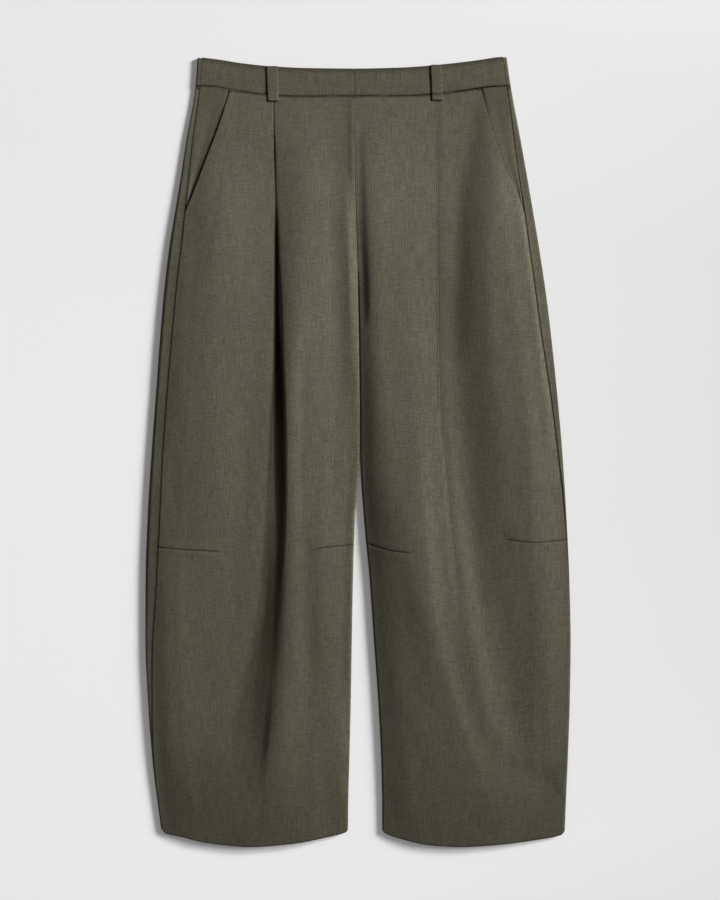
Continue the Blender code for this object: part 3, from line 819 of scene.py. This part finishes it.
def loopShade(side, x, drop):
    # the dark gap at the loop's side away from the lamp, on what lies under it
    away = x - (beltLoop["top"][side] - beltLoop["width"] / 2)
    below = drop - (smooth(bandSeam, x) + beltLoop["foot"])
    soft, early = beltLoop["gapEdge"]
    end, fade = beltLoop["gapEnd"]
    footSoft, footEarly = beltLoop["gapFoot"]
    across = ease(away / soft + early) * (1 - fadeIn(away, end, fade))
    return beltLoop["gapShade"] * across * (1 - ease(below / footSoft + footEarly))


frontPanel = {
    "spans": {right: (4, 46, 14, 10, 12, 38, 6), left: (4, 44, 9, 4, 9, 40, 6)},
    "rowStep": 3,
    "topGap": 0.42,
    "fineFrom": 600,  # rows stand closer here, for the dart seams
    "fineTo": 624,
    "fineStep": 0.65,
    "lipGap": 2,
    "turn": 0.5,  # radius of a turned edge
    "topTurn": 0.32,
    "hemTurn": 0.7,
    "hemBack": 10,
    "seamShade": 0.75,
    "seamWidth": 0.38,
    "mouthLight": (0.75, 4, 8),  # how much lighter the pocket mouth, its end and fade
    "lapShade": 0.4,
    "dartShade": 0.7,
    "hemShade": 0.5,
    "hemWidth": 1.6,
    # painted shade, darker near the waist and towards the hems
    "topPaintedShade": (0.14, 60, 130),  # how dark, from which drop, over what length
    "hemPaintedShade": {right: (0.18, 820, 130), left: (0.13, 860, 110)},
}


def frontRows():
    fineFrom, fineTo = frontPanel["fineFrom"], frontPanel["fineTo"]
    top, step = form["firstRow"] + frontPanel["topGap"], frontPanel["rowStep"]
    return np.concatenate(
        [
            np.arange(top, fineFrom, step),
            np.arange(fineFrom, fineTo, frontPanel["fineStep"]),
            np.arange(fineTo, form["lastRow"] - 1.0, step),
            [form["lastRow"] - frontPanel["hemTurn"]],
        ]
    )


def frontShade(side, points, edges):
    # painted shade on the front: along the seams, the fly lap and the hem, in the pleat opening
    # and dart seams, near the waist and hems, beside the belt loops
    x, drop = points[..., 0], dropsOn(points)
    outer, top, inner = (
        nearEdge(edges[where], frontPanel["seamWidth"]) for where in ("outer", "top", "inner")
    )
    lighter, end, fade = frontPanel["mouthLight"]
    mouth = ease((pocketEnd + end - drop) / fade)
    topDark, *topFade = frontPanel["topPaintedShade"]
    hemDark, *hemFade = frontPanel["hemPaintedShade"][side]
    shade = darkest(
        np.maximum(outer * (1 - lighter * mouth), top) * frontPanel["seamShade"],
        nearEdge(edges["bottom"], frontPanel["hemWidth"]) * frontPanel["hemShade"],
        gapShade(side, x, drop),
        kneeDarts(side, x, drop)[1] * frontPanel["dartShade"],
        topDark * (1 - fadeIn(drop, *topFade)),
        hemDark * fadeIn(drop, *hemFade),
        loopShade(side, x, drop),
    )
    if side == left:
        shade = np.maximum(shade, inner * (1 - roll(drop)) * frontPanel["lapShade"])
    return shade


def makeFront(side):
    turn = frontPanel["turn"]

    def stops(drop):
        mouth = smooth(pocketMouth[side], drop)
        seam = seamAlong(side, drop) + halfGap
        start = np.where(drop < pocketEnd, np.maximum(seam, alongAt(side, drop, mouth)), seam)
        start = start + turn
        lip, foot = pleat(side, "lip", drop), pleat(side, "foot", drop)
        past = lip + pleat(side, "fall", drop), foot, foot + pleat(side, "run", drop)
        places = [lip - frontPanel["lipGap"], *past]
        places = [alongAt(side, drop, x) for x in (places if side == right else places[::-1])]
        quarter, shoulder = edgeStops(side, drop)
        end = innerEnd(side, drop) - turn
        return [start, np.maximum(start + 5, quarter + 1), *places, shoulder, end]

    points = clothGrid(
        frontRows(),
        frontPanel["spans"][side],
        rowDrops(side, bandSeam),
        stops,
        lambda drop, along: sheetPoint(side, drop, along, True),
    )
    points, edges = turnAll(points, -side, panelTurns(frontPanel))
    shade = frontShade(side, points, edges)
    return addCloth("front" + sideNames[side], points, -side, shade, "panel_cloth")


fronts = both(makeFront)
print("fronts laid")

backPanel = {
    "spans": (2, 4, 8, 60, 6),
    "rowStep": 4,
    "topGap": 0.6,
    "turn": 0.5,
    "topTurn": 0.5,
    "hemTurn": 0.7,
    "hemBack": 8,
    "seamShade": 0.7,
    "seamWidth": 0.38,
    "edgeShade": 0.42,  # on the strip of the left leg that wraps round its outer edge
    "stripTop": (60, 60),  # where that shade starts and ends, each over what length
    "stripEnd": (420, 130),
    "stripRise": (0.8, 1.5),
}


def roundEdge(side, drop, along, edge=None):
    xOver, zOver = sheetPoint(side, drop, np.maximum(-along, 0), True, edge)
    xUnder, zUnder = sheetPoint(side, drop, np.maximum(along, 0), False, edge)
    return np.where(along < 0, xOver, xUnder), np.where(along < 0, zOver, zUnder)


def makeBack(side):
    def stops(drop):
        quarter, shoulder = edgeStops(side, drop)
        seam = seamAlong(side, drop) - halfGap - backPanel["turn"]
        end = innerEnd(side, drop) - backPanel["turn"]
        third = np.minimum(np.maximum(4 - seam, 0), quarter - 0.6)
        return [-seam, np.minimum(2 - seam, third - 0.3), third, quarter, shoulder, end]

    top, last = form["firstRow"] + backPanel["topGap"], form["lastRow"]
    rows = np.arange(top, last - 2, backPanel["rowStep"])
    points = clothGrid(
        np.append(rows, last - backPanel["hemTurn"]),
        backPanel["spans"],
        rowDrops(side, backSeam),
        stops,
        lambda drop, along: roundEdge(side, drop, along),
    )
    points, edges = turnAll(points, side, panelTurns(backPanel))
    near = np.minimum(edges["outer"], edges["top"])
    shade = nearEdge(near, backPanel["seamWidth"]) * backPanel["seamShade"]
    if side == left:
        drop = dropsOn(points)
        strip = fadeIn(drop, *backPanel["stripTop"]) * (1 - fadeIn(drop, *backPanel["stripEnd"]))
        strip = strip * fadeIn(points[..., 2], *backPanel["stripRise"])
        shade = np.maximum(shade, backPanel["edgeShade"] * strip)
    return addCloth("back" + sideNames[side], points, side, shade, "panel_cloth")


backs = both(makeBack)
print("backs laid")

pocket = {
    "spans": (3, 10, 14),
    "rowStep": 2.5,
    "topGap": 0.6,
    "endGap": 6,
    "turn": 0.5,
    "tuck": 13,  # how far it goes in behind the mouth
    "level": 0.8,  # even width beside the seam, before it sinks
    "sinkShare": 0.6,
    "sinkLeast": 2,
    "sink": 1.7,
    "sinkTop": (50, 0.15),
    "underRun": 3,
    "merge": 8,
    "seamShade": 0.5,
    "seamWidth": 0.6,
    "mouthShade": {right: (3.2, 0.97), left: (4, 0.34)},  # how wide, how dark
    "mouthTop": (36, 40, 0.3),
    "shade": {right: 0.16, left: 0.15},
}


def facingPlaces(side, drop):
    # the side seam, the pocket mouth, and the width over which the cloth sinks
    seam = seamAlong(side, drop) + halfGap + pocket["turn"]
    mouth = np.maximum(alongAt(side, drop, smooth(pocketMouth[side], drop)), seam)
    slope = np.maximum((mouth - seam) * pocket["sinkShare"], pocket["sinkLeast"])
    return seam, mouth, slope


def makeFacing(side):
    def stops(drop):
        seam, mouth, slope = facingPlaces(side, drop)
        start = seam + pocket["level"]
        return [seam, start, start + slope, mouth + pocket["tuck"]]

    def point(drop, along):
        seam, mouth, slope = facingPlaces(side, drop)
        merged = 1 - ease((mouth - seam) / pocket["merge"])
        sink = np.maximum(ease((along - seam - pocket["level"]) / slope), merged)
        run, early = pocket["sinkTop"]
        sink = sink * ease((drop - form["firstRow"]) / run + early)
        sink = np.maximum(sink, ease((along - mouth) / pocket["underRun"] + 1))
        x, z = sheetPoint(side, drop, along, True)
        return x, z - pocket["sink"] * sink

    top, end = form["firstRow"] + pocket["topGap"], pocketEnd + pocket["endGap"]
    points = clothGrid(
        np.arange(top, end, pocket["rowStep"]),
        pocket["spans"],
        rowDrops(side, bandSeam),
        stops,
        point,
    )
    turn = pocket["turn"]
    points, edges = turnAll(points, -side, (("outer", turn, 2), ("top", turn, 1)))
    x, drop = points[..., 0], dropsOn(points)
    away = (x - smooth(pocketMouth[side], drop)) * side
    reach, dark = pocket["mouthShade"][side]
    start, run, early = pocket["mouthTop"]
    near = np.minimum(edges["outer"], edges["top"])
    shade = darkest(
        nearEdge(near, pocket["seamWidth"]) * pocket["seamShade"],
        pocket["shade"][side],
        dark * (1 - ease(away / reach)) * ease((drop - start) / run + early),
    )
    return addCloth("pocketFacing" + sideNames[side], points, -side, shade, "facing_cloth")


facings = both(makeFacing)
print("pocket facings laid")

band = {
    "frontSpans": (4, 4, 70),
    "backSpans": (2, 4, 8, 60),
    "rows": 16,
    "backDrop": 0.8,
    "turn": 0.9,  # the top edge folds over this radius
    "seamTurn": 0.32,
    "endTurn": 0.12,
    "dome": 0.35,
    "domeBlend": 14,
    "uneven": (0.14, 22, 12, 77),  # height, width, length, seed
    "seamShade": 0.5,
    "seamWidth": 0.35,
    "lapShade": 0.25,
    "endShade": 0.08,
    "topShade": 0.5,
    "topWidth": 4,
}
bandTurns = (
    ("top", band["turn"], band["rows"] - 2),
    ("bottom", band["seamTurn"], 1),
    ("outer", band["endTurn"], 2),
    ("inner", band["endTurn"], 2),
)


def bandRows(top, seam):
    def drops(row, x):
        start, end = smooth(topEdge, x) + top, smooth(seam, x) - band["seamTurn"]
        return start + row * (end - start)

    return drops


def makeFrontBand(side):
    edge = form["bandEdge"]

    def stops(drop):
        seam = seamAlong(side, drop, edge) + halfGap + band["endTurn"]
        end = alongAt(side, drop, section(side, "inner", drop), edge)
        return [seam, seam + 3, seam + 8, end - halfGap - band["endTurn"]]

    def point(drop, along):
        x, z = sheetPoint(side, drop, along, True, edge)
        share = (drop - smooth(topEdge, x)) / (smooth(bandSeam, x) - smooth(topEdge, x))
        high, wide, long, seed = band["uneven"]
        swell = band["dome"] * np.sin(math.pi * np.clip(share, 0, 1))
        swell = swell + high * uneven(x, drop, wide, long, seed)
        inward = np.abs(x - section(side, "outer", drop))
        return x, z + swell * ease(inward / band["domeBlend"])

    rows = np.linspace(0, 1, band["rows"])
    points = clothGrid(rows, band["frontSpans"], bandRows(band["turn"], bandSeam), stops, point)
    points, edges = turnAll(points, -side, bandTurns)
    close = {where: nearEdge(far, band["seamWidth"]) for where, far in edges.items()}
    shade = darkest(
        close["outer"] * band["endShade"],
        close["bottom"] * band["seamShade"],
        nearEdge(edges["top"], band["topWidth"]) * band["topShade"],
        loopShade(side, points[..., 0], dropsOn(points)),
    )
    if side == left:
        shade = np.maximum(shade, close["inner"] * band["lapShade"])
    return addCloth("waistbandFront" + sideNames[side], points, -side, shade, "band_cloth")


def halfBackBand(side):
    edge = form["bandEdge"]

    def stops(drop):
        seam = seamAlong(side, drop, edge) - halfGap - band["endTurn"]
        middle = alongAt(side, drop, section(side, "inner", drop), edge)
        quarter = np.full_like(drop, edge * math.pi / 4)
        return [-seam, 2 - seam, np.zeros_like(drop), quarter, middle]

    def point(drop, along):
        return roundEdge(side, drop, along, edge)

    rows = np.linspace(0, 1, band["rows"])
    drops = bandRows(band["turn"] + band["backDrop"], backSeam)
    return clothGrid(rows, band["backSpans"], drops, stops, point)


def makeBackBand():
    points = np.concatenate([halfBackBand(right), halfBackBand(left)[:, -2::-1]], axis=1)
    points, edges = turnAll(points, -1, bandTurns)
    ends = np.minimum(edges["outer"], edges["inner"])
    shade = darkest(
        nearEdge(ends, band["seamWidth"]) * band["endShade"],
        nearEdge(edges["bottom"], band["seamWidth"]) * band["seamShade"],
    )
    return addCloth("waistbandBack", points, -1, shade, "band_cloth")


frontBands = both(makeFrontBand)

backBand = makeBackBand()
print("waistband laid")


def loopHeight(side, part, drop, x):
    # underside of the loop over the band and, under it, over the front
    under = form["bandEdge"] + band["dome"]
    here = np.array([drop])
    front = sheetPoint(side, here, alongAt(side, here, np.array([x])), True)[1][0]
    early, run = beltLoop["stepDown"]
    down = ease((drop - smooth(bandSeam, x) + early) / run)
    under = under + (front + beltLoop["overFront"] - under) * down
    bow = math.sin(math.pi * min(part / beltLoop["sewn"], 1.0)) ** 0.6
    return under + beltLoop["overBand"] + beltLoop["rise"] * bow


def loopOutline():
    # a flat oval with tight round sides
    wide, high = beltLoop["square"]
    outline = []
    for step in range(beltLoop["around"]):
        angle = 2 * math.pi * step / beltLoop["around"]
        c, s = math.cos(angle), math.sin(angle)
        x = math.copysign(abs(c) ** wide, c) * (beltLoop["width"] / 2)
        outline.append((x, math.copysign(abs(s) ** high, s) * beltLoop["thick"] / 2))
    return np.array(outline)


def makeLoop(side):
    topX = beltLoop["top"][side]
    top, seam = float(smooth(topEdge, topX)), float(smooth(bandSeam, topX))
    half, thick = beltLoop["width"] / 2, beltLoop["thick"]
    length = seam + beltLoop["foot"] - top
    outline = loopOutline()
    crown = beltLoop["crown"] * np.cos(outline[:, 0] / half * math.pi / 2)
    rings = []
    for part in np.linspace(0, 1, beltLoop["rows"]):
        drop = top + beltLoop["topGap"] + part * length
        x = topX + beltLoop["lean"] * part
        end = min(part, 1 - part) * length
        slim = math.sqrt(max(1 - max(1 - end / (thick / 2), 0) ** 2, 0.02))
        lift = loopHeight(side, part, drop, x) + thick / 2
        y = np.full(len(outline), form["length"] / 2 - drop)
        rings.append(np.stack([x + outline[:, 0], y, lift + outline[:, 1] * slim + crown], axis=1))
    points = np.array(rings)
    points = np.concatenate([points, points[:, :1]], axis=1)
    shade = np.zeros(points.shape[:2])
    shade[:2], shade[-2:] = beltLoop["endShades"]
    return addCloth("beltLoop" + sideNames[side], points, -1, shade, "band_cloth")


stitch = {
    "count": 6,
    "gap": 1.9,
    "half": 0.75,
    "thread": 0.34,
    "aboveFoot": 2.2,
    "lift": 0.22,
    "leanShare": 0.95,
    "part": 0.97,
    "rings": 6,
    "around": 8,
    "dark": (0.11, 0.10, 0.068, 1.0),
    "light": (0.19, 0.175, 0.125, 1.0),
    "ply": (9000.0, 5000.0),
    "roughness": 0.6,
}


def makeLoopStitches(side, finish):
    # a short row of thread across the foot of the loop
    topX = beltLoop["top"][side] + beltLoop["lean"] * stitch["leanShare"]
    drop = float(smooth(bandSeam, topX)) + beltLoop["foot"] - stitch["aboveFoot"]
    rings, around, thread = stitch["rings"], stitch["around"], stitch["thread"]
    points, faces = [], []
    for number in range(stitch["count"]):
        x = topX + (number - (stitch["count"] - 1) / 2) * stitch["gap"]
        z = loopHeight(side, stitch["part"], drop, x) + beltLoop["thick"] + stitch["lift"]
        start = len(points)
        for i in range(rings + 1):
            angle = math.pi * i / rings
            for j in range(around):
                turn = 2 * math.pi * j / around
                spot = (
                    x - math.cos(angle) * stitch["half"],
                    form["length"] / 2 - drop + math.sin(angle) * math.cos(turn) * thread,
                    z + math.sin(angle) * math.sin(turn) * thread,
                )
                points.append([value * mm for value in spot])
        for i in range(rings):
            for j in range(around):
                a, b = start + i * around + j, start + i * around + (j + 1) % around
                faces.append((a, b, b + around, a + around))
    thread = addMesh("loopStitches" + sideNames[side], points, faces, finish)
    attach(thread, "root")
    return thread


def threadFinish():
    material, shader, (x, y, _) = startMaterial("sewing thread", Roughness=stitch["roughness"])
    ply = ((x * stitch["ply"][0] + y * stitch["ply"][1]).sine() * 0.5 + 0.5).clamp()
    x.join(ply.mixed(stitch["dark"], stitch["light"]), shader.inputs["Base Color"])
    return material


loops = both(makeLoop)

sewingThread = threadFinish()

loopStitches = both(makeLoopStitches, sewingThread)
print("belt loops sewn")

print("cloth declared")

white = (1.0, 1.0, 1.0, 1.0)
studio = {
    "floorTones": (  # place, tone
        *((-0.56, 0.754), (-0.3, 0.657), (-0.1, 0.585)),
        *((0.1, 0.525), (0.3, 0.472), (0.56, 0.439)),
    ),
    "floorSkew": 0.55,
    # painted light: the floor glows faintly, which keeps the shadows on it pale
    "floorGlow": 0.122,  # the floor is a pale lit table, so shadows on it stay soft
    "floorRoughness": 0.9,
    "floorSpecular": 0.1,
    "floorReach": 3.0,
    "floorDrop": 0.0004,
    "keyStrength": 4.1,
    "keyElevation": 25.0,
    "keyAzimuth": 18.0,  # from +X towards the waist
    "keyAngle": 24.0,
    "waistPower": 2900.0,  # a second soft lamp that lights the waist end more than the hems
    "waistPlace": (4.7, 2.7, 2.45),
    "waistAim": (0.0, 1.1, 0.0),
    "waistCone": 34.0,
    "waistRadius": 0.7,
    "ambient": 0.19,
    "cameraLens": 100.0,
    "cameraFilm": 36.0,
    "cameraFar": 30.0,
    "cameraPlace": (0.0025, 0.0019, 3.133),
}


def makeFloor():
    constants = {
        "Roughness": studio["floorRoughness"],
        "Specular IOR Level": studio["floorSpecular"],
        "Emission Color": white,
        "Emission Strength": studio["floorGlow"],
    }
    material, shader, (x, y, _) = startMaterial("pale floor", **constants)
    slanted = y * (x * studio["floorSkew"] + 1) * 0.5 + 0.5
    tones = [((place + 1) / 2, (tone, tone, tone, 1.0)) for place, tone in studio["floorTones"]]
    even = x.node("ShaderNodeValToRGB", {"stops": tones}, {0: slanted})
    x.join(even, shader.inputs["Base Color"])
    reach = studio["floorReach"]
    corners = ((-reach, -reach), (reach, -reach), (reach, reach), (-reach, reach))
    points = [(*corner, -studio["floorDrop"]) for corner in corners]
    addMesh("studioFloor", points, [(0, 1, 2, 3)], material)


def makeLamps():
    key = bpy.data.lights.new("key", "SUN")
    key.energy, key.angle = studio["keyStrength"], math.radians(studio["keyAngle"])
    tilt, around = 90 - studio["keyElevation"], studio["keyAzimuth"]
    setOut("key", key).rotation_euler = (0, math.radians(tilt), math.radians(around))

    waist = bpy.data.lights.new("waist", "SPOT")
    waist.energy, waist.shadow_soft_size = studio["waistPower"], studio["waistRadius"]
    waist.spot_size, waist.spot_blend = math.radians(studio["waistCone"]), 1.0
    lamp = setOut("waist", waist)
    lamp.location = studio["waistPlace"]
    aim = Vector(studio["waistAim"]) - Vector(studio["waistPlace"])
    lamp.rotation_euler = aim.to_track_quat("-Z", "Y").to_euler()

    world = bpy.data.worlds.new("soft room")
    world.use_nodes = True
    background = world.node_tree.nodes["Background"]
    background.inputs[0].default_value = white
    background.inputs[1].default_value = studio["ambient"]
    bpy.context.scene.world = world
    bpy.context.scene.view_settings.view_transform = "Standard"


def makeCamera():
    camera = bpy.data.cameras.new("camera")
    camera.lens, camera.sensor_width = studio["cameraLens"], studio["cameraFilm"]
    camera.clip_end = studio["cameraFar"]
    view = setOut("camera", camera)
    view.location = studio["cameraPlace"]
    bpy.context.scene.camera = view


makeFloor()
makeLamps()
makeCamera()
print("studio set")
